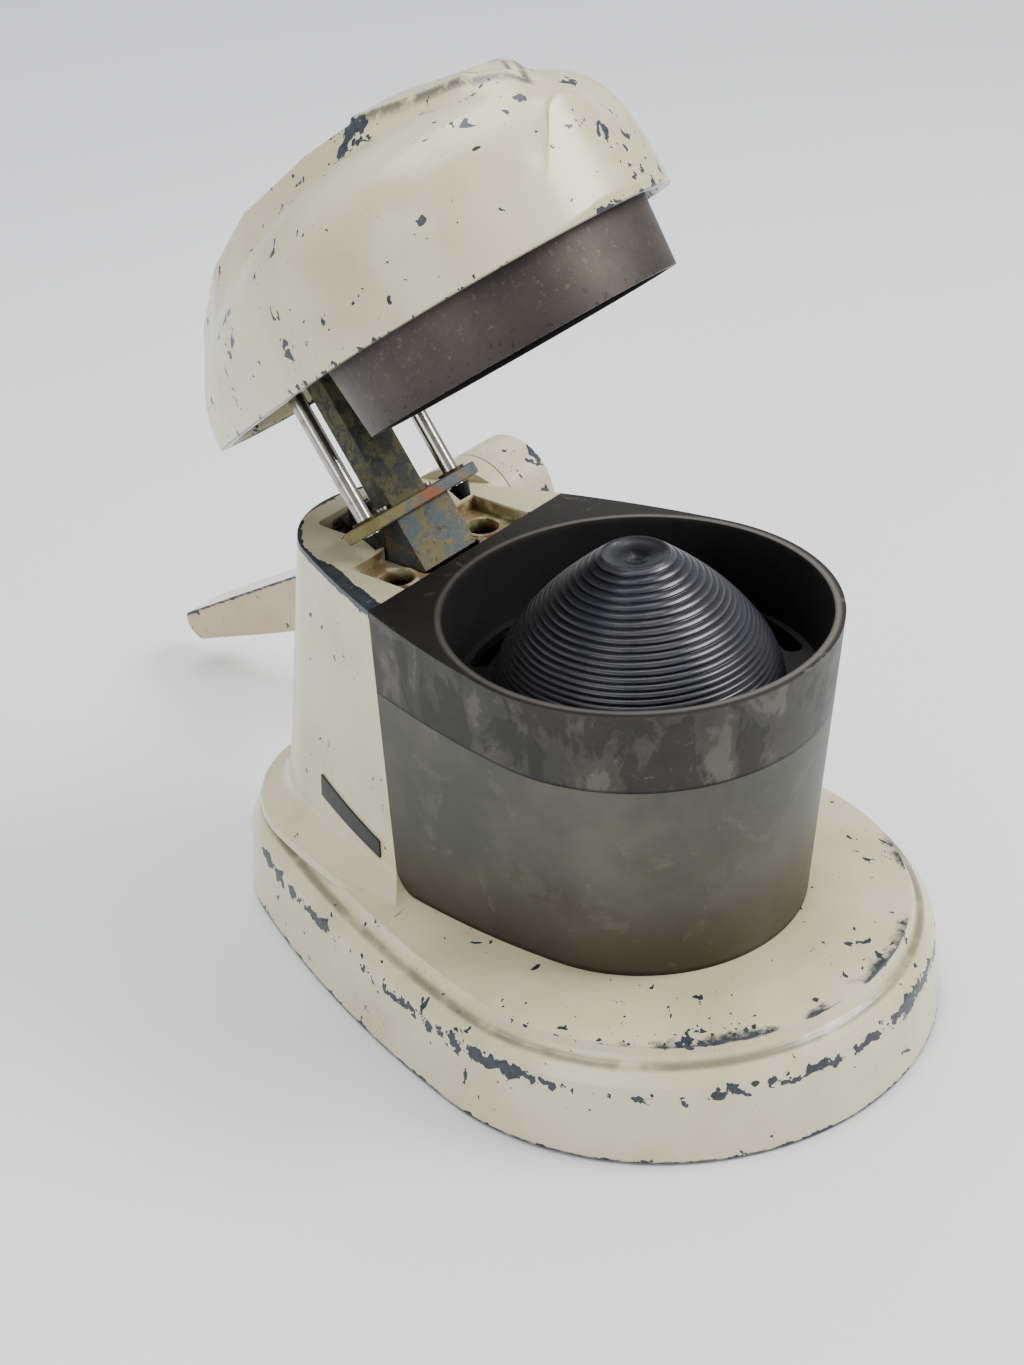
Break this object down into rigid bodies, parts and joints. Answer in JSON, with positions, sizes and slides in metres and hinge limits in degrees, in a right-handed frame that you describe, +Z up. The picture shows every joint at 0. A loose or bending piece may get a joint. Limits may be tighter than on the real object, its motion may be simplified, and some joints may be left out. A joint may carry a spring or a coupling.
{
  "type": "citrus press",
  "caption": "Hand-lever citrus press: ribbed cone in a strainer bowl over a juice pot, with a press cup in a tilting head moved by a side lever.",
  "frame": {"origin": "on the reamer's axis, on the surface that the feet rest on", "axes": "+Z up along the reamer's axis, -Y to the machine's front, +X to its right, where the lever is"},
  "size_m": [0.196, 0.4033, 0.3274],
  "materials": {
    "cream_paint": "chipped cream enamel",
    "cover_steel": "plain sheet",
    "rubber": "matt",
    "screw_steel": "plain",
    "bronze": "dull",
    "label_black": "satin",
    "pot_aluminium": "satin, stained",
    "tray_aluminium": "worn, dull",
    "cone_black": "ribbed, satin",
    "lever_paint": "worn cream enamel",
    "shaft_steel": "oiled",
    "gear_steel": "greasy",
    "block_iron": "corroded plating",
    "plate_iron": "corroded plating",
    "bar_iron": "mottled",
    "rod_chrome": "polished",
    "tip_black": "dark",
    "bridge_iron": "as cast",
    "cup_aluminium": "brown-grey satin",
    "shell_paint": "chipped cream enamel"
  },
  "bodies": {
    "frame": {"base_casting": "cream_paint", "bottom_cover": "cover_steel", "rubber_feet": "rubber", "foot_screws": "screw_steel", "shaft_bushes": "bronze", "label_plate": "label_black", "juice_pot": "pot_aluminium", "strainer_tray": "tray_aluminium", "reamer_cone": "cone_black", "cone_stud": "screw_steel", "cone_nut": "screw_steel", "thrust_washers": "bronze"},
    "lever": {"lever": "lever_paint", "lever_shaft": "shaft_steel", "pinion": "gear_steel", "shaft_key": "shaft_steel", "pinion_spacers": "gear_steel", "hub_pin": "shaft_steel", "hub_washer": "screw_steel", "hub_screw": "screw_steel"},
    "guide": {"guide_block": "block_iron", "cross_plate": "plate_iron", "rod_bushes": "bronze", "plate_screws": "screw_steel"},
    "head": {"ram_bar": "bar_iron", "guide_rods": "rod_chrome", "rod_tips": "tip_black", "head_bridge": "bridge_iron", "rod_nuts": "screw_steel", "bar_screw": "screw_steel", "cup_screw": "screw_steel", "press_cup": "cup_aluminium", "head_shell": "shell_paint", "shell_screws": "screw_steel"}
  },
  "joints": [
    {"name": "lever_turn", "type": "hinge", "parent": "frame", "child": "lever", "pos_m": [0, 0.1115, 0.1375], "axis": [1, 0, 0], "range_deg": [0, 169.5]},
    {"name": "guide_tilt", "type": "hinge", "parent": "frame", "child": "guide", "pos_m": [0, 0.1115, 0.1375], "axis": [1, 0, 0], "range_deg": [0, 35.7]},
    {"name": "head_slide", "type": "slide", "parent": "guide", "child": "head", "axis": [0, 0.5835, 0.8121], "range_m": [-0.0467, 0]}
  ],
  "couplings": [
    {"joint": "guide_tilt", "follows": "lever_turn", "ratio": 0.21062},
    {"joint": "head_slide", "follows": "lever_turn", "m_per_rad": -0.015786}
  ]
}
